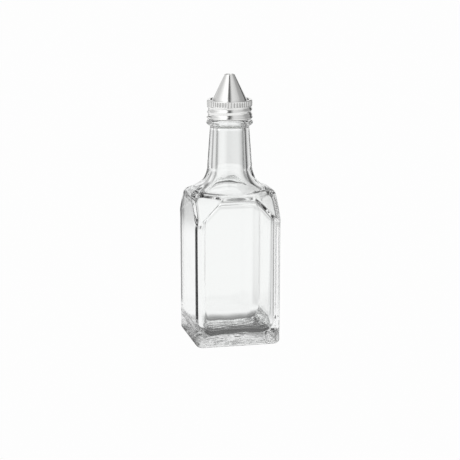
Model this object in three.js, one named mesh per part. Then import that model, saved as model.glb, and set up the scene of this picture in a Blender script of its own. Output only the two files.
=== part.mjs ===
// A square glass cruet for oil or vinegar, with a screw-on steel pourer.
//
// Millimetres, +Z up. The origin is the centre of the resting face, and the four sides of the
// body face +X, -X, +Y and -Y. The bottle is one thick skin of stacked sections. The cap is a
// knurled band that screws onto the glass thread, a cone with a flange that the band holds down,
// and a washer that seals the flange against the glass lip.
import * as THREE from "three";

// Driving dimensions of the glass body.
const bodyWidth = 50; // across two opposite sides, at the shoulder
const baseTaper = 0.15; // how much nearer the axis each side is at the bottom
const rimHeight = 87.5; // where the sides would meet the sloping shoulder if the edge were sharp
const shoulderSlope = (24 * Math.PI) / 180; // below the horizontal
const rimRadius = 2.6; // rounding between the sides and the shoulder
const facetDrop = 1.2; // from the rim down to the top of the facets, where the body is an octagon
const facetHeight = 17; // height of the slanting facet on each corner
const facetBow = 1.2; // 1 is a flat facet, and more bows it outwards
const cornerRadius = 4.5; // upright corners
const facetEdgeRadius = 1.4; // edges between a side and a corner facet
const heelRadius = 2.6;
const footWidth = 4.2; // width of the flat ring that the bottle rests on
const pushUp = 1.4; // rise of the bottom inside that ring
const shortestSlope = 0.5; // straight part left between two rounded stretches of the shoulder

// Driving dimensions of the neck and the threaded mouth.
const neckFootRadius = 12.9; // where the neck runs into the shoulder curve
const neckTopRadius = 11.25;
const shoulderCurve = 14.3; // radius of the sweep from neck to shoulder
const neckRise = 39.7; // from the shoulder rim to the middle of the glass bead under the cap
const beadStep = 1.75; // how far the bead stands out from the mouth
const beadDepth = 3.6; // from the lower edge of the bead to its upper edge
const mouthRise = 9.8; // from the middle of the bead to the lip of the glass
const mouthCoreRadius = 11.65; // glass between the thread ridges
const threadDepth = 0.6;
const threadPitch = 3.175; // eight turns to the inch
const threadStart = 0.4; // from the bead to where the ridge grows out of the glass
const lipRounding = 0.8; // outside edge of the lip
const boreRounding = 0.6; // inside edge of the lip
const boreRadius = 7.4; // at the lip
const boreFootRadius = 8.5; // where the bore starts to widen

// Driving dimensions of the hollow inside.
const sideWall = 3.5;
const cornerWall = 4.6; // behind the slanting facets
const shoulderWall = 3;
const floorThickness = 5.5;
const floorCrown = 1; // the inside floor is higher in the middle
const innerCornerRadius = 4;
const innerHeelRadius = 8;
const innerRimRadius = 5; // rounding between the inside walls and the inside of the shoulder
const innerCurve = 19; // radius of the sweep from bore to shoulder, inside

// Driving dimensions of the cap.
const clearance = 0.3; // between pieces that touch or turn against each other
const sheet = 0.5; // thickness of the steel
const bandLift = 0.4; // gap between the glass bead and the band
const fluteCount = 48;
const fluteDepth = 0.4;
const knurlHeight = 3.4;
const knurlStep = 0.55; // how far the flutes stand out from the grooves of the thread
const knurlFlare = 0.7; // height over which the thread widens into the flutes
const curlStep = 0.9; // how far the rolled lower edge stands out
const curlHeight = 1.7;
const rimRound = 0.35; // rounding of the band's upper edge
const turnIn = 1; // width of the rim turned in over the cone's flange
const washerThickness = 1.4;
const coneGap = 1.2; // ring-shaped gap between the cone and that rim
const coneHalfAngle = (26.2 * Math.PI) / 180;
const coneFootRise = 0.8; // from the flange up to where the straight cone starts
const coneTipRadius = 3.1;
const coneTipRounding = 0.5; // height of the rounded edge at the tip
const spoutHoleRadius = 2;

// Number of steps round each piece.
const octantSteps = 5; // the bottle, in an eighth of a turn
const lathed = 40; // cone and washer
const threadSteps = 5; // sections in one pitch of thread

const TURN = 2 * Math.PI;

// Heights and radii that follow from the driving dimensions.
const half = bodyWidth / 2;
const facetTop = rimHeight - facetDrop;
const beadHeight = rimHeight + neckRise;
const beadTop = beadHeight + beadDepth / 2;
const beadRadius = mouthCoreRadius + beadStep;
const mouthHeight = beadHeight + mouthRise;
const washerBottom = mouthHeight + clearance;
const washerTop = washerBottom + washerThickness;
const flangeBottom = washerTop + clearance;
const flangeTop = flangeBottom + sheet;
const bandShelf = flangeTop + clearance; // underside of the band's turned-in rim
const bandTop = bandShelf + sheet;
const bandBottom = beadTop + bandLift;
const bandThreadRadius = mouthCoreRadius + clearance; // ridges of the band, inside
const knurlRadius = bandThreadRadius + sheet + knurlStep;
const curlRadius = bandThreadRadius + sheet + curlStep;
const bandRoomRadius = knurlRadius - fluteDepth - sheet; // inside of the band above the thread
const bandMouthRadius = bandRoomRadius - turnIn; // opening that the cone stands in
const coneFootRadius = bandMouthRadius - coneGap; // where the cone turns out into its flange

// Radius, at polar angle phi, of a square with cut and rounded corners. The flat sides are
// `flat` from the axis and the cuts `cut` from it, and every corner is rounded by `round`.
function cutSquare(flat, cut, round, phi) {
  const quarter = ((phi % (TURN / 4)) + TURN / 4) % (TURN / 4);
  const angle = Math.min(quarter, TURN / 4 - quarter);
  const x = flat - round;
  const y = Math.max(0, Math.min(x, Math.SQRT2 * (cut - round) - x));
  if (Math.tan(angle) * flat <= y) return flat / Math.cos(angle);
  const endX = x + round * Math.SQRT1_2;
  const endY = y + round * Math.SQRT1_2;
  if (angle >= Math.atan2(endY, endX)) return (endX + endY) * Math.SQRT1_2 / Math.cos(TURN / 8 - angle);
  const along = Math.cos(angle) * x + Math.sin(angle) * y;
  return along + Math.sqrt(Math.max(0, along * along - x * x - y * y + round * round));
}

// Polar angles of the points of one such section: close together on the rounded corners, and
// evenly spaced where the section is round.
function sectionAngles(flat, cut, round) {
  const x = flat - round;
  const y = Math.max(0, Math.min(x, Math.SQRT2 * (cut - round) - x));
  const from = Math.atan2(y, flat);
  const to = Math.atan2(y + round * Math.SQRT1_2, x + round * Math.SQRT1_2);
  const roundness = Math.min(1, 0.15 + Math.pow(round / flat, 2));
  const octant = [];
  for (let i = 0; i < octantSteps; i++) {
    const even = (i / octantSteps) * (TURN / 8);
    const onCorner = from + ((to - from) * (i - 1)) / (octantSteps - 2);
    const uneven = i === 0 ? 0 : onCorner;
    octant.push(uneven + (even - uneven) * roundness);
  }
  const angles = [];
  for (let q = 0; q < 4; q++) {
    const start = (q * TURN) / 4;
    octant.forEach((a) => angles.push(start + a));
    angles.push(start + TURN / 8);
    for (let i = octantSteps - 1; i > 0; i--) angles.push(start + TURN / 4 - octant[i]);
  }
  return angles;
}

// One ring of points of a cut-square section at height z.
function squareRing(z, flat, cut, round) {
  return sectionAngles(flat, cut, round).map((phi) => {
    const r = cutSquare(flat, cut, round, phi);
    return new THREE.Vector3(r * Math.cos(phi), r * Math.sin(phi), z);
  });
}

// One ring of `count` points whose radius may change with the polar angle.
function roundRing(z, radiusAt, count) {
  const ring = [];
  for (let i = 0; i < count; i++) {
    const phi = (i / count) * TURN;
    const r = typeof radiusAt === "number" ? radiusAt : radiusAt(phi, z);
    ring.push(new THREE.Vector3(r * Math.cos(phi), r * Math.sin(phi), z));
  }
  return ring;
}

// Height above the thread's helix at polar angle phi, as a wave from 0 in the groove to 1 on
// the ridge. The thread is right-handed: it climbs with the polar angle.
function threadWave(phi, z) {
  const turns = z / threadPitch - phi / TURN;
  return 0.5 - 0.5 * Math.cos(turns * TURN);
}

// A share that rises from 0 to 1 between two heights.
function fade(z, from, to) {
  const t = Math.min(1, Math.max(0, (z - from) / (to - from)));
  return t * t * (3 - 2 * t);
}

// The closed surface over a stack of rings. It ends in a point on the axis at each end when
// `caps` gives their heights, and otherwise the last ring joins the first.
function skin(rings, caps) {
  const count = rings[0].length;
  const points = rings.flat();
  const faces = [];
  const spans = caps ? rings.length - 1 : rings.length;
  for (let j = 0; j < spans; j++) {
    const a = j * count;
    const b = ((j + 1) % rings.length) * count;
    for (let i = 0; i < count; i++) {
      const k = (i + 1) % count;
      faces.push(a + i, a + k, b + k, a + i, b + k, b + i);
    }
  }
  if (caps) {
    const first = points.length;
    const last = first + 1;
    const top = (rings.length - 1) * count;
    points.push(new THREE.Vector3(0, 0, caps[0]), new THREE.Vector3(0, 0, caps[1]));
    for (let i = 0; i < count; i++) {
      const k = (i + 1) % count;
      faces.push(first, k, i, last, top + i, top + k);
    }
  }
  const geometry = new THREE.BufferGeometry().setFromPoints(points);
  geometry.setIndex(faces);
  geometry.computeVertexNormals();
  return geometry;
}

// Points of an arc in the (radius, height) plane, from one angle to another.
function arc(centreR, centreZ, radius, from, to, steps) {
  const points = [];
  for (let i = 0; i <= steps; i++) {
    const a = from + ((to - from) * i) / steps;
    points.push([centreR + radius * Math.cos(a), centreZ + radius * Math.sin(a)]);
  }
  return points;
}

// Distance of the corner cuts from the axis at height z, for a section `flat` from the axis to
// its sides: a full square below the facets, a regular octagon above them.
function cutAt(z, flat, wall) {
  const share = Math.min(1, Math.max(0, (z - facetTop + facetHeight) / facetHeight));
  const atSquare = half * Math.SQRT2;
  const outside = atSquare + (half - atSquare) * Math.pow(share, facetBow);
  return Math.max(flat, Math.min(flat * Math.SQRT2, outside - wall));
}

// The sweep from the neck or bore down to the sloping shoulder, from the top down, as
// (radius, height) points. The slope runs on to `edge` at the height `edgeHeight`, where
// `edgeRadius` rounds it off, and the sweep's radius is limited to the room that this leaves.
function sweep(footRadius, radius, edge, edgeHeight, edgeRadius, steps) {
  const turn = TURN / 4 - shoulderSlope;
  const reach = 1 - Math.cos(turn);
  const room = edge - edgeRadius * reach - shortestSlope - footRadius;
  const swept = Math.min(radius, room / reach);
  const endR = footRadius + swept * reach;
  const endZ = edgeHeight + (edge - endR) * Math.tan(shoulderSlope);
  const centreZ = endZ + swept * Math.sin(turn);
  return arc(footRadius + swept, centreZ, swept, TURN / 2, TURN / 2 + turn, steps);
}

// Rounded edge between an upright side at `edge` and the shoulder slope, from the side up, as
// (radius, height) points.
function rounding(edge, edgeHeight, radius, steps) {
  const turn = TURN / 4 - shoulderSlope;
  const centreZ = edgeHeight - radius * Math.tan(turn / 2);
  return arc(edge - radius, centreZ, radius, 0, turn, steps);
}

// Sections get rounder as they shrink from the shoulder rim to the neck.
function shoulderRing(r, z, rim, neck, edgeRound) {
  const share = Math.min(1, Math.max(0, (rim - r) / (rim - neck)));
  const round = edgeRound + (r - edgeRound) * Math.pow(share, 0.7);
  return squareRing(z, r, cutAt(z, r, half - r), Math.min(round, 0.999 * r));
}

function outsideOfBody() {
  const rings = [];
  const bottom = half - baseTaper;
  const footEdge = bottom - heelRadius;
  const footInner = footEdge - footWidth;
  rings.push(squareRing(pushUp * 0.8, footInner * 0.5, footInner * 0.5, footInner * 0.49));
  rings.push(squareRing(0, footInner, footInner * Math.SQRT2, footInner * 0.5));
  for (const [r, z] of arc(footEdge, heelRadius, heelRadius, -TURN / 4, 0, 3)) {
    const corner = Math.max(0.4, cornerRadius - (bottom - r));
    rings.push(squareRing(z, r, r * Math.SQRT2, corner));
  }
  const edge = rounding(half, rimHeight, rimRadius, 3);
  const facetFoot = facetTop - facetHeight;
  const edgeFoot = edge[0][1];
  const facetSteps = 4;
  for (let i = 0; i < facetSteps; i++) {
    const share = i / facetSteps;
    const z = facetFoot + (edgeFoot - facetFoot) * share;
    const round = cornerRadius + (facetEdgeRadius - cornerRadius) * share;
    rings.push(squareRing(z, half, cutAt(z, half, 0), round));
  }
  for (const [r, z] of edge) {
    rings.push(shoulderRing(r, z, half, neckFootRadius, facetEdgeRadius));
  }
  return rings;
}

function outsideOfNeck() {
  const rings = [];
  const curve = sweep(neckFootRadius, shoulderCurve, half, rimHeight, rimRadius, 6);
  curve.reverse();
  for (const [r, z] of curve) {
    rings.push(shoulderRing(r, z, half, neckFootRadius + 2, facetEdgeRadius));
  }
  const count = rings[0].length;
  rings.push(roundRing(beadHeight - beadDepth / 2 - 0.6, neckTopRadius, count));
  const reach = beadRadius - neckTopRadius;
  for (const a of [-75, -45, -15, 15, 45, 75]) {
    const lean = (a * Math.PI) / 180;
    const z = beadHeight + (beadDepth / 2) * Math.sin(lean);
    rings.push(roundRing(z, neckTopRadius + reach * Math.cos(lean), count));
  }
  rings.push(roundRing(beadTop, mouthCoreRadius, count));
  return rings;
}

// The threaded mouth. The ridge grows out of the glass above the bead and dies away below the
// rounded lip.
function outsideOfMouth(count) {
  const rings = [];
  const low = beadTop + threadStart;
  const high = mouthHeight - lipRounding;
  const steps = Math.round(((high - low) / threadPitch) * threadSteps);
  for (let i = 0; i <= steps; i++) {
    const z = low + ((high - low) * i) / steps;
    const share = fade(z, low, low + 1.2) * (1 - fade(z, high - 1.6, high - 0.2));
    const radiusAt = (phi) => mouthCoreRadius + threadDepth * share * threadWave(phi, z);
    rings.push(roundRing(z, radiusAt, count));
  }
  rings.push(roundRing(mouthHeight - lipRounding * 0.3, mouthCoreRadius - lipRounding * 0.3, count));
  rings.push(roundRing(mouthHeight, mouthCoreRadius - lipRounding, count));
  return rings;
}

// The hollow, from the lip down to the inside floor.
function insideOfBottle(count) {
  const rings = [];
  rings.push(roundRing(mouthHeight, boreRadius + boreRounding, count));
  rings.push(roundRing(mouthHeight - boreRounding, boreRadius, count));
  const inner = half - sideWall;
  const innerRim = rimHeight - shoulderWall / Math.cos(shoulderSlope);
  const curve = sweep(boreFootRadius, innerCurve, inner, innerRim, innerRimRadius, 5);
  for (const [r, z] of curve) {
    rings.push(shoulderRing(r, z, inner, boreFootRadius + 3, innerCornerRadius));
  }
  const edge = rounding(inner, innerRim, innerRimRadius, 3);
  edge.reverse();
  for (const [r, z] of edge) {
    rings.push(squareRing(z, r, cutAt(z, r, cornerWall), innerCornerRadius));
  }
  const facetSteps = 3;
  const facetFoot = facetTop - facetHeight;
  const edgeFoot = edge[edge.length - 1][1];
  for (let i = 1; i <= facetSteps; i++) {
    const z = edgeFoot + ((facetFoot - edgeFoot) * i) / facetSteps;
    rings.push(squareRing(z, inner, cutAt(z, inner, cornerWall), innerCornerRadius));
  }
  const lowest = floorThickness + innerHeelRadius;
  const atFloor = inner - baseTaper;
  for (const [r, z] of arc(atFloor - innerHeelRadius, lowest, innerHeelRadius, 0, -TURN / 4, 4)) {
    rings.push(squareRing(z, r, r * Math.SQRT2, Math.min(innerCornerRadius, 0.6 * r)));
  }
  const middle = (atFloor - innerHeelRadius) / 2;
  rings.push(squareRing(floorThickness + floorCrown * 0.8, middle, middle, 0.98 * middle));
  return rings;
}

function bottleGeometry() {
  const body = outsideOfBody();
  const count = body[0].length;
  const rings = [...body, ...outsideOfNeck(), ...outsideOfMouth(count), ...insideOfBottle(count)];
  return skin(rings, [pushUp, floorThickness + floorCrown]);
}

// The knurled band: steel sheet that follows the glass thread, rolled out at its lower edge and
// turned in over the cone's flange at the top.
function bandGeometry() {
  const count = fluteCount * 2;
  const knurlTop = bandTop - rimRound;
  const knurlFoot = knurlTop - knurlHeight;
  const wallFoot = bandBottom + curlHeight;
  const wallHead = knurlFoot - knurlFlare;
  const steps = Math.round(((wallHead - wallFoot) / threadPitch) * threadSteps);
  const threadRadius = (phi, z) => bandThreadRadius + threadDepth * threadWave(phi, z);
  const curl = curlHeight / 2;
  const outside = arc(curlRadius - curl, bandBottom + curl, curl, -TURN / 5, TURN / 7, 3).map(
    ([r, z]) => roundRing(z, r, count),
  );
  for (let i = 0; i <= steps; i++) {
    const z = wallFoot + ((wallHead - wallFoot) * i) / steps;
    outside.push(roundRing(z, (phi) => threadRadius(phi, z) + sheet, count));
  }
  const fluted = (z, r, depth) =>
    roundRing(z, (phi) => r - depth * Math.round(0.5 + 0.5 * Math.cos(phi * fluteCount)), count);
  outside.push(fluted(knurlFoot, knurlRadius, 0));
  outside.push(fluted(knurlFoot + 0.3, knurlRadius, fluteDepth));
  outside.push(fluted(knurlTop - 0.3, knurlRadius, fluteDepth));
  outside.push(roundRing(knurlTop, knurlRadius, count));
  outside.push(roundRing(bandTop, knurlRadius - rimRound, count));
  outside.push(roundRing(bandTop, bandMouthRadius, count));
  const inside = [
    roundRing(bandShelf, bandMouthRadius, count),
    roundRing(bandShelf, bandRoomRadius, count),
    roundRing(knurlFoot, bandRoomRadius, count),
  ];
  for (let i = steps; i >= 0; i--) {
    const z = wallFoot + ((wallHead - wallFoot) * i) / steps;
    inside.push(roundRing(z, (phi) => threadRadius(phi, z), count));
  }
  inside.push(roundRing(bandBottom + curl / 2, bandThreadRadius + threadDepth, count));
  return skin([...outside, ...inside]);
}

// A ring-shaped piece from its closed (radius, height) outline, listed anticlockwise.
function ringGeometry(outline) {
  const rings = outline.map(([r, z]) => roundRing(z, r, lathed));
  return skin(rings);
}

// The pouring cone: a thin steel cone with a rolled hole at its tip and a flange at its foot.
function coneGeometry() {
  const lean = Math.tan(coneHalfAngle);
  const across = sheet / Math.cos(coneHalfAngle); // thickness measured along the radius
  const footHeight = flangeTop + coneFootRise;
  const tipShoulder = footHeight + (coneFootRadius - coneTipRadius) / lean;
  const tipHeight = tipShoulder + coneTipRounding;
  const flangeRadius = bandRoomRadius - clearance;
  const innerTip = tipShoulder - 0.6;
  const innerTipRadius = coneTipRadius + (tipShoulder - innerTip) * lean - across;
  const outline = [
    [coneFootRadius - across, flangeBottom],
    [flangeRadius, flangeBottom],
    [flangeRadius, flangeTop],
    [coneFootRadius + (footHeight - flangeTop) * 0.6, flangeTop],
    [coneFootRadius, footHeight],
    [coneTipRadius, tipShoulder],
    [coneTipRadius - 0.2, tipHeight - 0.12],
    [coneTipRadius - 0.5, tipHeight],
    [spoutHoleRadius + 0.3, tipHeight],
    [spoutHoleRadius, tipHeight - 0.3],
    [spoutHoleRadius, innerTip + 0.2],
    [Math.max(spoutHoleRadius, innerTipRadius), innerTip],
    [coneFootRadius - across, footHeight],
  ];
  return ringGeometry(outline);
}

function washerGeometry() {
  const inner = boreRadius + boreRounding;
  const outer = mouthCoreRadius;
  return ringGeometry([
    [inner, washerBottom],
    [outer, washerBottom],
    [outer, washerTop],
    [inner, washerTop],
  ]);
}

function piece(name, geometry, look) {
  const mesh = new THREE.Mesh(geometry, new THREE.MeshStandardMaterial(look));
  mesh.name = name;
  return mesh;
}

const clearGlass = { color: 0xf2f5f4, roughness: 0.02, metalness: 0, transparent: true, opacity: 0.35 };
const brushedSteel = { color: 0xc9cac8, roughness: 0.28, metalness: 1 };
const sealRubber = { color: 0xe6e4dc, roughness: 0.6, metalness: 0 };

const cruet = new THREE.Group();
cruet.add(
  piece("glass_bottle", bottleGeometry(), clearGlass),
  piece("sealing_washer", washerGeometry(), sealRubber),
  piece("pour_cone", coneGeometry(), brushedSteel),
  piece("screw_band", bandGeometry(), brushedSteel),
);

export default cruet;
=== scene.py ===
"""A square glass cruet for oil or vinegar with a screw-on steel pourer, on a pale studio floor."""

import math

import bpy
import numpy as np
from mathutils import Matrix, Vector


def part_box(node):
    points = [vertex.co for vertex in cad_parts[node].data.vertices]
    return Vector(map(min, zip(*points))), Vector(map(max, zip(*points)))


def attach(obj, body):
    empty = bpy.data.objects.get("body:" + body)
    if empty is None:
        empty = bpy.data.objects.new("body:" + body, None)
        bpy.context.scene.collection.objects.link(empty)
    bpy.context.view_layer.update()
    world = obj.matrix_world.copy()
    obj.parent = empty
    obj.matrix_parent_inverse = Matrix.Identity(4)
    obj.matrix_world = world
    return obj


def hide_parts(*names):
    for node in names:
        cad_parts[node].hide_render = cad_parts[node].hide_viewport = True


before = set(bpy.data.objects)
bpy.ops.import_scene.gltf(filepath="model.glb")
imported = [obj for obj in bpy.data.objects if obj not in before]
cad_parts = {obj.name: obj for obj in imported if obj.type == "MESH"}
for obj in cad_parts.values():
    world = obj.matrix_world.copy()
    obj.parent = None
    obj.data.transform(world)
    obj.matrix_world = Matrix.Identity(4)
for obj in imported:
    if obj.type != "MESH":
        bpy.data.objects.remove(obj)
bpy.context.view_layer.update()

MM = 0.001
TURN = 2 * math.pi

# ---------------------------------------------------------------- sizes
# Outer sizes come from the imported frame, and the rest repeat the CAD model's own values, in metres.
bottle_low, bottle_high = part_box("glass_bottle")
band_low, band_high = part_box("screw_band")
cone_low, cone_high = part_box("pour_cone")
washer_low, washer_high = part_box("sealing_washer")

HALF = bottle_high.x
MOUTH = bottle_high.z
TAPER = 0.15 * MM
RIM = 87.5 * MM
SLOPE = math.radians(24)
RIM_RADIUS = 2.6 * MM
SHORTEST_SLOPE = 0.5 * MM
FACET_TOP = RIM - 1.2 * MM
FACET_HEIGHT = 17 * MM
FACET_BOW = 1.2
CORNER = 4.5 * MM
FACET_EDGE = 1.4 * MM
HEEL = 2.6 * MM
FOOT_WIDTH = 4.2 * MM
PUSH_UP = 1.4 * MM
NECK_FOOT = 12.9 * MM
NECK_TOP = 11.25 * MM
SHOULDER_CURVE = 14.3 * MM
BEAD = RIM + 39.7 * MM
BEAD_DEPTH = 3.6 * MM
MOUTH_CORE = washer_high.x
BEAD_RADIUS = MOUTH_CORE + 1.75 * MM
THREAD_DEPTH = 0.6 * MM
PITCH = 3.175 * MM
LIP_ROUND = 0.8 * MM
BORE_ROUND = 0.6 * MM
BORE = 7.4 * MM
BORE_FOOT = 8.5 * MM
WALL = 3.5 * MM
FACET_WALL = 4.6 * MM
SHOULDER_WALL = 3 * MM
FLOOR = 5.5 * MM
FLOOR_CROWN = 1 * MM
INNER_CORNER = 4 * MM
INNER_HEEL = 8 * MM
INNER_RIM_RADIUS = 5 * MM
INNER_CURVE = 19 * MM

SHEET = 0.5 * MM
FLUTES = 48
FLUTE_DEPTH = 0.4 * MM
KNURL_HEIGHT = 3.4 * MM
KNURL_STEP = 0.55 * MM
KNURL_FLARE = 0.7 * MM
KNURL_ROUND = 0.35 * MM
CURL_RADIUS = 0.85 * MM
CLEARANCE = 0.3 * MM
TURN_IN = 1 * MM
BAND_THREAD = MOUTH_CORE + CLEARANCE
KNURL = BAND_THREAD + SHEET + KNURL_STEP
BAND_ROOM = KNURL - FLUTE_DEPTH - SHEET
BAND_MOUTH = BAND_ROOM - TURN_IN
CONE_GAP = 1.2 * MM
CONE_FOOT = BAND_MOUTH - CONE_GAP
CONE_FOOT_RISE = 0.8 * MM
CONE_TIP = 3.1 * MM
CONE_LEAN = math.tan(math.radians(26.2))
SPOUT_HOLE = 2 * MM

# ---------------------------------------------------------------- camera


def add_camera():
    """Looks slightly down at the bottle, with the front side wide and the left side narrow."""
    data = bpy.data.cameras.new("camera")
    data.lens = 137.78  # a long lens, as product photographs are taken with
    data.sensor_width = 36
    data.clip_start = 0.01
    data.clip_end = 20
    camera = bpy.data.objects.new("camera", data)
    camera.location = (-0.22405, -0.97458, 0.28183)
    camera.rotation_euler = (1.35590, 0, -0.2262)
    bpy.context.scene.collection.objects.link(camera)
    bpy.context.scene.camera = camera


# ---------------------------------------------------------------- section maths


def corner_points(flat, cut, round_):
    """Centre of the rounding between a side and its corner cut."""
    x = flat - round_
    y = np.clip(math.sqrt(2) * (cut - round_) - x, 0, x)
    return x, y


def cut_square(flat, cut, round_, phi):
    """Radius at angle phi of a square with cut, rounded corners."""
    quarter = np.mod(phi, TURN / 4)
    angle = np.minimum(quarter, TURN / 4 - quarter)
    x, y = corner_points(flat, cut, round_)
    end_x = x + round_ * math.sqrt(0.5)
    end_y = y + round_ * math.sqrt(0.5)
    on_side = flat / np.cos(angle)
    on_cut = (end_x + end_y) * math.sqrt(0.5) / np.cos(TURN / 8 - angle)
    along = np.cos(angle) * x + np.sin(angle) * y
    on_round = along + np.sqrt(np.maximum(0, along**2 - x**2 - y**2 + round_**2))
    return np.where(
        np.tan(angle) * flat <= y,
        on_side,
        np.where(angle >= np.arctan2(end_y, end_x), on_cut, on_round),
    )


# Points on one eighth of a section: on its side, on the rounding and on the corner cut.
SIDE_STEPS, ROUND_STEPS, CUT_STEPS = 7, 9, 4
OCTANT = SIDE_STEPS + ROUND_STEPS + CUT_STEPS
AROUND = 8 * OCTANT


def section_angles(flat, cut, round_):
    """Polar angles of one ring: dense on rounded corners, even where the section is round."""
    x, y = corner_points(flat, cut, round_)
    start = math.atan2(y, flat)
    end = math.atan2(y + round_ * math.sqrt(0.5), x + round_ * math.sqrt(0.5))
    roundness = min(1, 0.15 + (round_ / flat) ** 2)
    uneven = np.concatenate(
        [
            np.linspace(0, start, SIDE_STEPS, endpoint=False),
            np.linspace(start, end, ROUND_STEPS, endpoint=False),
            np.linspace(end, TURN / 8, CUT_STEPS, endpoint=False),
        ]
    )
    even = np.linspace(0, TURN / 8, OCTANT, endpoint=False)
    octant = uneven + (even - uneven) * roundness
    mirrored = TURN / 4 - octant[:0:-1]
    quarter = np.concatenate([octant, [TURN / 8], mirrored])
    return np.concatenate([quarter + q * TURN / 4 for q in range(4)])


def square_ring(z, flat, cut, round_):
    """Points of one square section with cut, rounded corners at height z."""
    phi = section_angles(flat, cut, round_)
    r = cut_square(flat, cut, round_, phi)
    return np.stack([r * np.cos(phi), r * np.sin(phi), np.full_like(r, z)], axis=1)


def round_ring(z, radius, count=AROUND):
    """A ring whose radius is a number, or a function of the polar angle."""
    phi = np.arange(count) * TURN / count
    r = radius(phi) if callable(radius) else np.full(count, radius)
    return np.stack([r * np.cos(phi), r * np.sin(phi), np.full(count, z)], axis=1)


def arc(centre_r, centre_z, radius, start, end, steps):
    """Points (radius, height) on an arc of a profile."""
    angles = np.linspace(start, end, steps + 1)
    return [(centre_r + radius * math.cos(a), centre_z + radius * math.sin(a)) for a in angles]


def skin(name, rings, caps=None):
    """The closed surface over a stack of rings, ending on the axis at the heights in caps."""
    count = len(rings[0])
    points = np.concatenate(rings)
    spans = len(rings) - 1 if caps else len(rings)
    faces = []
    i = np.arange(count)
    k = (i + 1) % count
    for j in range(spans):
        a = j * count
        b = ((j + 1) % len(rings)) * count
        faces.extend(np.stack([a + i, a + k, b + k, b + i], axis=1).tolist())
    if caps:
        first = len(points)
        top = (len(rings) - 1) * count
        points = np.concatenate([points, [[0, 0, caps[0]], [0, 0, caps[1]]]])
        faces.extend(np.stack([np.full(count, first), k, i], axis=1).tolist())
        faces.extend(np.stack([np.full(count, first + 1), top + i, top + k], axis=1).tolist())
    mesh = bpy.data.meshes.new(name)
    mesh.from_pydata(points.tolist(), [], faces)
    mesh.validate()
    mesh.polygons.foreach_set("use_smooth", [True] * len(mesh.polygons))
    piece = bpy.data.objects.new(name, mesh)
    bpy.context.scene.collection.objects.link(piece)
    return piece


# ---------------------------------------------------------------- glass bottle


def cut_at(z, flat, wall):
    """How far the slanting corner facet stands from the axis at height z."""
    share = min(1, max(0, (z - FACET_TOP + FACET_HEIGHT) / FACET_HEIGHT))
    at_square = HALF * math.sqrt(2)
    outside = at_square + (HALF - at_square) * share**FACET_BOW
    return max(flat, min(flat * math.sqrt(2), outside - wall))


def sweep(foot, radius, edge, edge_height, edge_radius, steps):
    """The curve from the neck or bore down to the shoulder slope, as (radius, height)."""
    turn = TURN / 4 - SLOPE
    reach = 1 - math.cos(turn)
    room = edge - edge_radius * reach - SHORTEST_SLOPE - foot
    swept = min(radius, room / reach)
    end_r = foot + swept * reach
    end_z = edge_height + (edge - end_r) * math.tan(SLOPE)
    centre_z = end_z + swept * math.sin(turn)
    return arc(foot + swept, centre_z, swept, TURN / 2, TURN / 2 + turn, steps)


def rounding(edge, edge_height, radius, steps):
    """Rounded edge between an upright side and the shoulder slope, from the side up."""
    turn = TURN / 4 - SLOPE
    centre_z = edge_height - radius * math.tan(turn / 2)
    return arc(edge - radius, centre_z, radius, 0, turn, steps)


def shoulder_ring(r, z, rim, neck, edge_round):
    """Sections get rounder as they shrink from the shoulder rim to the neck."""
    share = min(1, max(0, (rim - r) / (rim - neck)))
    round_ = edge_round + (r - edge_round) * share**0.7
    return square_ring(z, r, cut_at(z, r, HALF - r), min(round_, 0.999 * r))


PUSH_UP_RINGS = 9
SMALLEST_CORNER = 1 * MM


def between(low, high, steps):
    return np.linspace(low, high, steps + 1)


def thread_wave(phi, z):
    """Height of the right-handed thread, from 0 in its groove to 1 on its crest."""
    return 0.5 - 0.5 * np.cos((z / PITCH - phi / TURN) * TURN)


def fade(z, start, end):
    """Rises smoothly from 0 at start to 1 at end."""
    t = min(1, max(0, (z - start) / (end - start)))
    return t * t * (3 - 2 * t)


def underside(foot_inner, foot_edge, bottom):
    """The pushed-up middle, the flat resting ring and the rounded heel, from the axis outwards."""
    rings = []
    for share in between(0.1, 0.9, PUSH_UP_RINGS - 1):
        z = PUSH_UP * (1 - share**2)
        r = foot_inner * share
        rings.append(square_ring(z, r, r * (1 + 0.4 * share**3), r * (0.98 - 0.4 * share**2)))
    step = 0.04 * MM
    ring_corner = foot_inner * 0.5
    rings.append(square_ring(step, foot_inner, foot_inner * math.sqrt(2), ring_corner))
    inset = 0.5 * MM
    for r in between(foot_inner + inset, foot_edge - inset, 3):
        corner = ring_corner + (CORNER - HEEL - ring_corner) * (r - foot_inner) / FOOT_WIDTH
        rings.append(square_ring(0, r, r * math.sqrt(2), max(corner, SMALLEST_CORNER)))
    for r, z in arc(foot_edge, HEEL, HEEL, -TURN / 4, 0, 10):
        round_ = max(SMALLEST_CORNER, CORNER - (bottom - r))
        rings.append(square_ring(z, r, r * math.sqrt(2), round_))
    return rings


def outside_of_body():
    bottom = HALF - TAPER
    foot_edge = bottom - HEEL
    rings = underside(foot_edge - FOOT_WIDTH, foot_edge, bottom)
    facet_foot = FACET_TOP - FACET_HEIGHT
    for z in between(HEEL, facet_foot, 40)[1:-1]:
        flat = bottom + TAPER * (z - HEEL) / (facet_foot - HEEL)
        rings.append(square_ring(z, flat, flat * math.sqrt(2), CORNER))
    edge = rounding(HALF, RIM, RIM_RADIUS, 10)
    for z in between(facet_foot, edge[0][1], 30)[:-1]:
        share = (z - facet_foot) / (edge[0][1] - facet_foot)
        round_ = CORNER + (FACET_EDGE - CORNER) * fade(share, 0, 0.6)
        rings.append(square_ring(z, HALF, cut_at(z, HALF, 0), round_))
    for r, z in edge:
        rings.append(shoulder_ring(r, z, HALF, NECK_FOOT, FACET_EDGE))
    return rings


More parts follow.
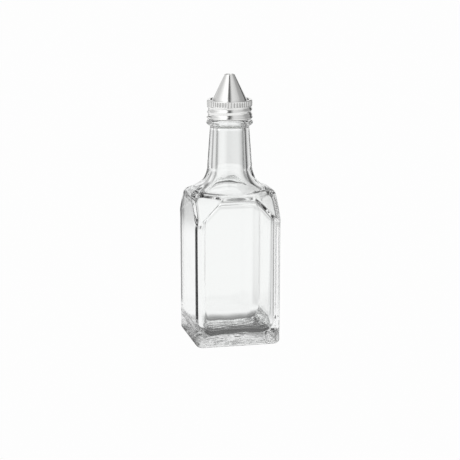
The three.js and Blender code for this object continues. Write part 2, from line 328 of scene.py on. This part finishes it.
def outside_of_neck():
    rings = []
    curve = sweep(NECK_FOOT, SHOULDER_CURVE, HALF, RIM, RIM_RADIUS, 22)
    curve.reverse()
    for r, z in curve:
        rings.append(shoulder_ring(r, z, HALF, NECK_FOOT + 2 * MM, FACET_EDGE))
    neck_foot_z = curve[-1][1]
    bead_low = BEAD - BEAD_DEPTH / 2 - 0.6 * MM
    for share in between(0, 1, 10)[1:]:
        z = neck_foot_z + (bead_low - neck_foot_z) * share
        rings.append(round_ring(z, NECK_FOOT + (NECK_TOP - NECK_FOOT) * share))
    reach = BEAD_RADIUS - NECK_TOP
    for lean in between(-1.35, 1.35, 14):
        z = BEAD + BEAD_DEPTH / 2 * math.sin(lean)
        rings.append(round_ring(z, NECK_TOP + reach * math.cos(lean)))
    return rings


def outside_of_mouth():
    rings = []
    low = BEAD + BEAD_DEPTH / 2 + 0.3 * MM
    high = MOUTH - LIP_ROUND
    for z in between(low, high, 34):
        run_in = fade(z, low, low + 1.2 * MM)
        run_out = 1 - fade(z, high - 1.6 * MM, high - 0.2 * MM)
        depth = THREAD_DEPTH * run_in * run_out
        rings.append(round_ring(z, lambda phi: MOUTH_CORE + depth * thread_wave(phi, z)))
    for r, z in arc(MOUTH_CORE - LIP_ROUND, high, LIP_ROUND, 0, TURN / 4, 6)[1:]:
        rings.append(round_ring(z, r))
    return rings


def inside_of_bottle():
    rings = []
    for r, z in arc(BORE + BORE_ROUND, MOUTH - BORE_ROUND, BORE_ROUND, TURN / 4, TURN / 2, 5):
        rings.append(round_ring(z, r))
    inner = HALF - WALL
    inner_rim = RIM - SHOULDER_WALL / math.cos(SLOPE)
    curve = sweep(BORE_FOOT, INNER_CURVE, inner, inner_rim, INNER_RIM_RADIUS, 22)
    bore_top = MOUTH - BORE_ROUND
    for share in between(0, 1, 12)[1:-1]:
        z = bore_top + (curve[0][1] - bore_top) * share
        rings.append(round_ring(z, BORE + (BORE_FOOT - BORE) * share))
    for r, z in curve:
        rings.append(shoulder_ring(r, z, inner, BORE_FOOT + 3 * MM, INNER_CORNER))
    edge = rounding(inner, inner_rim, INNER_RIM_RADIUS, 8)
    edge.reverse()
    for r, z in edge:
        rings.append(square_ring(z, r, cut_at(z, r, FACET_WALL), INNER_CORNER))
    facet_foot = FACET_TOP - FACET_HEIGHT
    for z in between(edge[-1][1], facet_foot, 16)[1:]:
        rings.append(square_ring(z, inner, cut_at(z, inner, FACET_WALL), INNER_CORNER))
    lowest = FLOOR + INNER_HEEL
    for z in between(facet_foot, lowest, 40)[1:-1]:
        flat = inner - TAPER * (facet_foot - z) / (facet_foot - lowest)
        rings.append(square_ring(z, flat, flat * math.sqrt(2), INNER_CORNER))
    at_floor = inner - TAPER
    heel_start = at_floor - INNER_HEEL
    for r, z in arc(heel_start, lowest, INNER_HEEL, 0, -TURN / 4, 14):
        rings.append(square_ring(z, r, r * math.sqrt(2), min(INNER_CORNER, 0.6 * r)))
    for share in between(0, 0.9, 14)[1:]:
        r = heel_start * (1 - share)
        z = FLOOR + FLOOR_CROWN * (1 - (1 - share) ** 2)
        rings.append(square_ring(z, r, r * (1.41 - 0.4 * share), r * (0.6 + 0.38 * share)))
    return rings


# Waves in the glass: (waves per metre along x and along y, phase, height).
BASE_WAVES = ((310, 60, 0.4, 0.12), (-90, 330, 1.7, 0.12), (240, -260, 2.9, 0.1), (520, 410, 0.2, 0.06))
FLOOR_WAVES = ((60, 20, 0.9, 0.3), (-30, 90, 2.2, 0.35), (150, 160, 0.5, 0.16), (330, -230, 1.1, 0.07))
WALL_WAVES = ((9, 1, 0.3, 0.03), (17, 2, 1.9, 0.015))


def waves(table, x, y):
    return sum(h * MM * np.sin(TURN * (a * x + b * y) / 2 + p * 3) for a, b, p, h in table)


def ripple_base(ring, edge):
    """The bottom of poured glass is never flat: small waves that die out at the resting ring."""
    x, y = ring[:, 0], ring[:, 1]
    share = np.clip((edge - np.maximum(abs(x), abs(y))) / (3 * MM), 0, 1)
    ring[:, 2] += share * (waves(BASE_WAVES, x, y) + 0.1 * MM)


def ripple_inside(ring):
    """The inside was shaped by air, not by the mould, so its walls and floor wander a little."""
    x, y, z = ring[:, 0].copy(), ring[:, 1].copy(), ring[:, 2].copy()
    low = np.clip((FLOOR + INNER_HEEL - z) / INNER_HEEL, 0, 1)
    ring[:, 2] += low * waves(FLOOR_WAVES, x, y)
    phi = np.arctan2(y, x)
    wander = sum(h * MM * np.sin(TURN * a * z + n * phi + p) for a, n, p, h in WALL_WAVES)
    high = np.clip((RIM - 6 * MM - z) / (12 * MM), 0, 1) * (1 - low)
    grow = 1 + high * wander / (HALF - WALL)
    ring[:, 0] = x * grow
    ring[:, 1] = y * grow


def make_bottle():
    rings = outside_of_body()
    for ring in rings[:PUSH_UP_RINGS]:
        ripple_base(ring, HALF - HEEL - FOOT_WIDTH)
    rings += [*outside_of_neck(), *outside_of_mouth()]
    inside = inside_of_bottle()
    for ring in inside:
        ripple_inside(ring)
    rings += inside
    bottle = skin("bottle_glass", rings, [PUSH_UP, FLOOR + FLOOR_CROWN])
    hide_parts("glass_bottle")
    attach(bottle, "bottle")
    bottle.data.materials.append(clear_glass())
    return bottle


# ---------------------------------------------------------------- cap


def make_band():
    """One sheet: rolled edge, rolled thread, flare, knurl, and the turned-in rim over the cone."""
    count = FLUTES * 8
    knurl_top = band_high.z - KNURL_ROUND
    knurl_foot = knurl_top - KNURL_HEIGHT
    curl = CURL_RADIUS
    wall_foot = band_low.z + 2 * curl
    wall_head = knurl_foot - KNURL_FLARE
    curl_centre = band_high.x - curl

    def threaded(z, extra):
        return round_ring(z, lambda phi: BAND_THREAD + extra + THREAD_DEPTH * thread_wave(phi, z), count)

    rings = []
    for r, z in arc(curl_centre, band_low.z + curl, curl, -TURN / 4, TURN / 7, 12):
        rings.append(round_ring(z, r, count))
    for z in between(wall_foot, wall_head, 28):
        rings.append(threaded(z, SHEET))
    for share in between(0, 1, 6)[1:]:
        z = wall_head + (knurl_foot + 0.3 * MM - wall_head) * share
        blend = fade(share, 0, 1)

        def flare(phi, z=z, blend=blend):
            thread = BAND_THREAD + SHEET + THREAD_DEPTH * thread_wave(phi, z)
            return thread + (KNURL - thread) * blend

        rings.append(round_ring(z, flare, count))

    def fluted(z, r, depth):
        def radius(phi):
            wave = 0.5 + 0.5 * np.cos(phi * FLUTES)
            return r - depth * wave**1.5

        return round_ring(z, radius, count)

    for share in between(0, 1, 4)[1:]:
        z = knurl_foot + (0.3 + 0.35 * share) * MM
        rings.append(fluted(z, KNURL, FLUTE_DEPTH * fade(share, 0, 1)))
    for z in between(knurl_foot + 0.8 * MM, knurl_top - 0.5 * MM, 4):
        rings.append(fluted(z, KNURL, FLUTE_DEPTH))
    for share in between(0, 1, 4)[1:]:
        z = knurl_top - 0.5 * MM + 0.4 * MM * share
        rings.append(fluted(z, KNURL, FLUTE_DEPTH * (1 - fade(share, 0, 1))))
    for r, z in arc(KNURL - KNURL_ROUND, knurl_top, KNURL_ROUND, 0, TURN / 4, 6):
        rings.append(round_ring(z, r, count))
    shelf = band_high.z - SHEET
    for r, z in arc(BAND_MOUTH + SHEET / 2, shelf + SHEET / 2, SHEET / 2, TURN / 4, TURN * 3 / 4, 6):
        rings.append(round_ring(z, r, count))
    rings.append(round_ring(shelf, BAND_ROOM - 0.2 * MM, count))
    rings.append(round_ring(shelf - 0.2 * MM, BAND_ROOM, count))
    rings.append(round_ring(knurl_foot, BAND_ROOM, count))
    for z in between(wall_head, wall_foot, 20):
        rings.append(threaded(z, 0))
    rings.append(round_ring(band_low.z + curl / 2, BAND_THREAD + THREAD_DEPTH, count))
    band = skin("knurled_band", rings)
    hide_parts("screw_band")
    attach(band, "band")
    band.data.materials.append(steel("band_steel", 0.16, groove_shadow))
    return band


def make_cone():
    """Flange, sloping shell and rounded lip around the spout hole."""
    count = 128
    across = SHEET / math.cos(math.atan(CONE_LEAN))
    flange_bottom, flange_top = cone_low.z, cone_low.z + SHEET
    foot = flange_top + CONE_FOOT_RISE
    lip = (CONE_TIP - SPOUT_HOLE) / 2
    tip_shoulder = cone_high.z - lip
    rings = [(CONE_FOOT - across, flange_bottom), (cone_high.x - 0.1 * MM, flange_bottom)]
    rings += [(cone_high.x, flange_bottom + 0.1 * MM), (cone_high.x, flange_top - 0.1 * MM)]
    rings += [(cone_high.x - 0.1 * MM, flange_top)]
    rings += arc(CONE_FOOT + 0.9 * MM, flange_top + 0.5 * MM, 0.5 * MM, -TURN / 4, -TURN / 2.3, 6)
    for share in between(0, 1, 24)[1:]:
        z = foot + (tip_shoulder - foot) * share
        rings.append((CONE_FOOT + (CONE_TIP - CONE_FOOT) * share, z))
    rings += arc(SPOUT_HOLE + lip, tip_shoulder, lip, 0.35, TURN / 2 + 0.2, 10)[1:]
    inner_tip = tip_shoulder - 0.6 * MM
    inner_radius = max(SPOUT_HOLE, CONE_TIP + (tip_shoulder - inner_tip) * CONE_LEAN - across)
    rings += [(SPOUT_HOLE, inner_tip + 0.2 * MM), (inner_radius, inner_tip)]
    rings += [(CONE_FOOT - across, foot)]
    cone = skin("steel_cone", [round_ring(z, r, count) for r, z in rings])
    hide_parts("pour_cone")
    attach(cone, "spout")
    cone.data.materials.append(steel("cone_steel", 0.14, recess_shadow))
    return cone


def make_washer():
    inner, outer = BORE + BORE_ROUND, washer_high.x
    bevel = 0.35 * MM
    rings = []
    for cr, cz, start in (
        (inner + bevel, washer_low.z + bevel, TURN / 2),
        (outer - bevel, washer_low.z + bevel, TURN * 3 / 4),
        (outer - bevel, washer_high.z - bevel, 0),
        (inner + bevel, washer_high.z - bevel, TURN / 4),
    ):
        for r, z in arc(cr, cz, bevel, start, start + TURN / 4, 4):
            rings.append(round_ring(z, r, 96))
    washer = skin("soft_washer", rings)
    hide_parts("sealing_washer")
    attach(washer, "spout")
    washer.data.materials.append(soft_seal())
    return washer


# ---------------------------------------------------------------- materials


def new_material(name):
    material = bpy.data.materials.new(name)
    material.use_nodes = True
    nodes = material.node_tree.nodes
    return material, nodes, material.node_tree.links, nodes["Principled BSDF"]


STIPPLE_SCALE = 420
STIPPLE_DEPTH = 0.6 * MM


def clear_glass():
    """Clear glass whose underside has a fine stipple."""
    material, nodes, links, shader = new_material("clear_glass")
    shader.inputs["Base Color"].default_value = (0.985, 0.992, 0.988, 1)
    shader.inputs["Transmission Weight"].default_value = 1
    shader.inputs["Roughness"].default_value = 0
    shader.inputs["IOR"].default_value = 1.52
    tree = material.node_tree
    place = nodes.new("ShaderNodeTexCoord")
    split = nodes.new("ShaderNodeSeparateXYZ")
    links.new(place.outputs["Object"], split.inputs[0])
    foot = smooth_step(tree, split.outputs["Z"], 1.5 * MM, 3 * MM, 1, 0)
    stipple = nodes.new("ShaderNodeTexNoise")
    stipple.inputs["Scale"].default_value = STIPPLE_SCALE
    stipple.inputs["Detail"].default_value = 2
    links.new(place.outputs["Object"], stipple.inputs["Vector"])
    bump = nodes.new("ShaderNodeBump")
    bump.inputs["Distance"].default_value = STIPPLE_DEPTH
    links.new(calc(tree, "MULTIPLY", foot, 0.5), bump.inputs["Strength"])
    links.new(stipple.outputs["Fac"], bump.inputs["Height"])
    links.new(bump.outputs["Normal"], shader.inputs["Normal"])
    return material


POLISHED = (0.9, 0.9, 0.89, 1)
# Dark grey painted into the steel as painted shade in its grooves and recess.
PAINTED_SHADE_GREY = (0.16, 0.16, 0.155, 1)


def steel(name, roughness, shadow):
    """Satin steel with painted shade. `shadow` builds the mask of the grooves and corners where shade is
    painted into the base colour.
    """
    material, nodes, links, shader = new_material(name)
    tree = material.node_tree
    place, heading, (x, y, z) = directions(tree, "Object")
    # The base colour turns to painted shade where the mask is 1.
    tint = grey_mix(tree, shadow(tree, heading, z), POLISHED, PAINTED_SHADE_GREY)
    links.new(tint, shader.inputs["Base Color"])
    shader.inputs["Metallic"].default_value = 1
    shader.inputs["Roughness"].default_value = roughness
    return material


def groove_shadow(tree, heading, z):
    """Painted shade in the valleys of the knurl, and a thin painted shadow line where the band curls
    under.
    """
    wave = calc(tree, "COSINE", calc(tree, "MULTIPLY", heading, TURN / 360 * FLUTES))
    valley = smooth_step(tree, wave, 0.1, 0.95, 0, 0.5)
    top = band_high.z - 0.5 * MM
    knurl = zone(tree, z, top - KNURL_HEIGHT + 0.6 * MM, top, 0.2 * MM)
    # Painted shadow line along the curled bottom edge of the band.
    under = smooth_step(tree, z, band_low.z + 0.25 * MM, band_low.z + 0.6 * MM, 0.8, 0)
    return calc(tree, "MAXIMUM", calc(tree, "MULTIPLY", valley, knurl), under)


def recess_shadow(tree, heading, z):
    """Painted shade on the flange, which lies in a narrow ring-shaped recess under the band's turned-in
    rim.
    """
    # Painted shade: the base colour darkens towards the bottom of the flange.
    return smooth_step(tree, z, cone_low.z + 0.6 * MM, cone_low.z + 1.3 * MM, 0.85, 0)


def soft_seal():
    """Off-white, soft plastic."""
    material, nodes, links, shader = new_material("seal")
    shader.inputs["Base Color"].default_value = (0.86, 0.85, 0.82, 1)
    shader.inputs["Roughness"].default_value = 0.55
    return material


# ---------------------------------------------------------------- studio

# The studio is a white room. Darker zones in the floor and the walls draw the edge lines in the
# glass and the stripes in the steel, and rays straight from the camera don't see them. Headings
# are in degrees, from +Y towards +X, and each flag is (from, to, softness, share of light taken).
# FAR_FLAGS stand further off on the floor than FLAGS do.
FLAGS = ((50, 66, 4, 0.75), (30, 112, 6, 0.25))
FAR_FLAGS = ((42, 62, 6, 0.6), (-30, -10, 5, 0.55))
BACKDROP_GLOW = (-4, 8, 3)
CAMERA_GAP = (182, 207, 5, 14)
SIDE_ROOM = ((76, 108, 8, 0.45), (-76, -58, 6, 0.65))
PALE = (0.985, 0.985, 0.985, 1)
FLOOR_LEVEL = 0.95
ROOM_LEVEL = 0.97
NEAR_START, NEAR_FULL = 0.045, 0.09
FAR_START, FAR_FULL = 0.28, 0.38
# Painted shadow in the floor under the base: inner and outer edge of the square, share of light taken.
PAINTED_SHADOW_UNDER_BASE = (0.024, 0.036, 0.9)
BACK_START, BACK_FULL = 0.36, 0.46
BACK_DIMMED = 0.16
FLOOR_FADE = (0.8, 1.4)
ABOVE_HEIGHT = (16, 40, 6)
ABOVE_HEADING = (-45, 60, 12)
ABOVE_DIMMED = 0.68
CAMERA_GAP_DIMMED = 0.93


def calc(tree, operation, *values):
    """A Math node's result from numbers and sockets."""
    node = tree.nodes.new("ShaderNodeMath")
    node.operation = operation
    for socket, value in zip(node.inputs, values):
        if isinstance(value, bpy.types.NodeSocket):
            tree.links.new(value, socket)
        else:
            socket.default_value = value
    return node.outputs[0]


def smooth_step(tree, value, low, high, start=0, end=1):
    """A smooth change from start to end as the value goes from low to high."""
    node = tree.nodes.new("ShaderNodeMapRange")
    node.interpolation_type = "SMOOTHSTEP"
    tree.links.new(value, node.inputs["Value"])
    for name, number in (("From Min", low), ("From Max", high), ("To Min", start), ("To Max", end)):
        node.inputs[name].default_value = number
    return node.outputs[0]


def zone(tree, value, low, high, soft):
    """1 between low and high, 0 outside, with soft edges."""
    rise = smooth_step(tree, value, low - soft, low + soft)
    fall = smooth_step(tree, value, high - soft, high + soft, 1, 0)
    return calc(tree, "MULTIPLY", rise, fall)


def dimmed(tree, level, mask, amount):
    """The level with `amount` of it taken away where the mask is 1."""
    return calc(tree, "MULTIPLY", level, calc(tree, "MULTIPLY_ADD", mask, -amount, 1))


def share_of(tree, first, second):
    return calc(tree, "MULTIPLY", first, second)


def rest_of(tree, mask):
    return calc(tree, "SUBTRACT", 1, mask)


def degrees(tree, radians):
    return calc(tree, "MULTIPLY", radians, 360 / TURN)


def directions(tree, coordinate):
    """The point itself, its heading seen from the bottle's axis, and its three coordinates."""
    place = tree.nodes.new("ShaderNodeTexCoord").outputs[coordinate]
    split = tree.nodes.new("ShaderNodeSeparateXYZ")
    tree.links.new(place, split.inputs[0])
    x, y, z = split.outputs
    return place, degrees(tree, calc(tree, "ARCTAN2", x, y)), (x, y, z)


def flag_shade(tree, heading, flags):
    """How much light all the flags together take at this heading."""
    level = 1
    for low, high, soft, amount in flags:
        level = dimmed(tree, level, zone(tree, heading, low, high, soft), amount)
    return rest_of(tree, level)


def is_camera(tree):
    return tree.nodes.new("ShaderNodeLightPath").outputs["Is Camera Ray"]


def grey_mix(tree, share, first, second):
    """The first colour where the share is 0, and the second where it is 1."""
    node = tree.nodes.new("ShaderNodeMix")
    node.data_type = "RGBA"
    tree.links.new(share, node.inputs["Factor"])
    for name, value in (("A", first), ("B", second)):
        if isinstance(value, bpy.types.NodeSocket):
            tree.links.new(value, node.inputs[name])
        else:
            node.inputs[name].default_value = value
    return node.outputs["Result"]


def floor_level(tree):
    """Brightness of the floor as the glass sees it, with painted shade from the flags, under the base
    and towards the sides and back, and the distance from the axis.
    """
    place, heading, (x, y, z) = directions(tree, "Object")
    length = tree.nodes.new("ShaderNodeVectorMath")
    length.operation = "LENGTH"
    tree.links.new(place, length.inputs[0])
    distance = length.outputs["Value"]
    level = FLOOR_LEVEL
    for flags, near, full in ((FLAGS, NEAR_START, NEAR_FULL), (FAR_FLAGS, FAR_START, FAR_FULL)):
        out = smooth_step(tree, distance, near, full)
        level = dimmed(tree, level, share_of(tree, flag_shade(tree, heading, flags), out), 1)
    # A painted shadow in the floor under the base, which only the glass sees.
    square = calc(tree, "MAXIMUM", calc(tree, "ABSOLUTE", x), calc(tree, "ABSOLUTE", y))
    inner, outer, amount = PAINTED_SHADOW_UNDER_BASE
    level = dimmed(tree, level, smooth_step(tree, square, inner, outer, 1, 0), amount)
    back = smooth_step(tree, distance, BACK_START, BACK_FULL)
    for start, end, soft, amount in SIDE_ROOM:
        side_share = share_of(tree, back, zone(tree, heading, start, end, soft))
        level = dimmed(tree, level, side_share, amount)
    glow = zone(tree, heading, *BACKDROP_GLOW)
    dull = share_of(tree, back, calc(tree, "MULTIPLY_ADD", glow, -0.7, 1))
    return dimmed(tree, level, dull, BACK_DIMMED), distance


def add_floor():
    """A pale, glowing floor that fades into the backdrop far from the bottle. The glass sees painted
    shade in it.
    """
    side = 1.5
    mesh = bpy.data.meshes.new("floor")
    corners = [(-side, -side, 0), (side, -side, 0), (side, side, 0), (-side, side, 0)]
    mesh.from_pydata(corners, [], [(0, 1, 2, 3)])
    floor = bpy.data.objects.new("floor", mesh)
    floor.location.z = -0.2 * MM
    bpy.context.scene.collection.objects.link(floor)
    material, nodes, links, shader = new_material("floor")
    tree = material.node_tree
    nodes.remove(shader)
    level, distance = floor_level(tree)
    emission = nodes.new("ShaderNodeEmission")
    links.new(grey_mix(tree, is_camera(tree), level, PALE), emission.inputs["Color"])
    clear = nodes.new("ShaderNodeBsdfTransparent")
    mix = nodes.new("ShaderNodeMixShader")
    links.new(smooth_step(tree, distance, *FLOOR_FADE), mix.inputs[0])
    links.new(emission.outputs[0], mix.inputs[1])
    links.new(clear.outputs[0], mix.inputs[2])
    links.new(mix.outputs[0], nodes["Material Output"].inputs["Surface"])
    mesh.materials.append(material)


def room_sides(tree, heading, around, facing):
    """The walls beside the bottle darken towards the back, but the backdrop itself doesn't."""
    left_fade = smooth_step(tree, around, 235, 300, 0, 0.45)
    right_fade = smooth_step(tree, around, 165, 80, 0.2, 0.5)
    left = share_of(tree, left_fade, facing)
    right = share_of(tree, right_fade, rest_of(tree, facing))
    backdrop = zone(tree, heading, -40, 60, 20)
    return share_of(tree, calc(tree, "ADD", left, right), rest_of(tree, backdrop))


def camera_gap(tree, around):
    """The dark opening in the front wall through which the picture is taken."""
    right, left, right_soft, left_soft = CAMERA_GAP
    rise = smooth_step(tree, around, right - left_soft, right + left_soft)
    fall = smooth_step(tree, around, left - right_soft, left + right_soft, 1, 0)
    return share_of(tree, rise, fall)


def room_level(tree):
    """Brightness of the room as the glass and the steel see it."""
    place, heading, (x, y, z) = directions(tree, "Generated")
    around = calc(tree, "FLOORED_MODULO", heading, 360)
    height = degrees(tree, calc(tree, "ARCSINE", z))
    low = smooth_step(tree, height, 50, 65, 1, 0)
    shade = flag_shade(tree, heading, FLAGS + FAR_FLAGS)
    level = dimmed(tree, ROOM_LEVEL, share_of(tree, shade, low), 1)
    above = share_of(tree, zone(tree, height, *ABOVE_HEIGHT), zone(tree, heading, *ABOVE_HEADING))
    level = dimmed(tree, level, above, ABOVE_DIMMED)
    facing = smooth_step(tree, around, 190, 196)
    level = dimmed(tree, level, room_sides(tree, heading, around, facing), 1)
    level = dimmed(tree, level, camera_gap(tree, around), CAMERA_GAP_DIMMED)
    return dimmed(tree, level, facing, -0.25)


def add_world():
    """A white room around the floor."""
    world = bpy.data.worlds.new("studio")
    world.use_nodes = True
    bpy.context.scene.world = world
    tree = world.node_tree
    colour = grey_mix(tree, is_camera(tree), room_level(tree), PALE)
    tree.links.new(colour, tree.nodes["Background"].inputs["Color"])


scene = bpy.context.scene
scene.view_settings.view_transform = "Standard"
scene.view_settings.look = "None"
# Thick glass passes light on many times. The few mirror bounces keep its edge lines dark.
scene.cycles.max_bounces = 48
scene.cycles.glossy_bounces = 8
scene.cycles.transmission_bounces = 48
add_camera()
make_bottle()
make_band()
make_cone()
make_washer()
add_floor()
add_world()
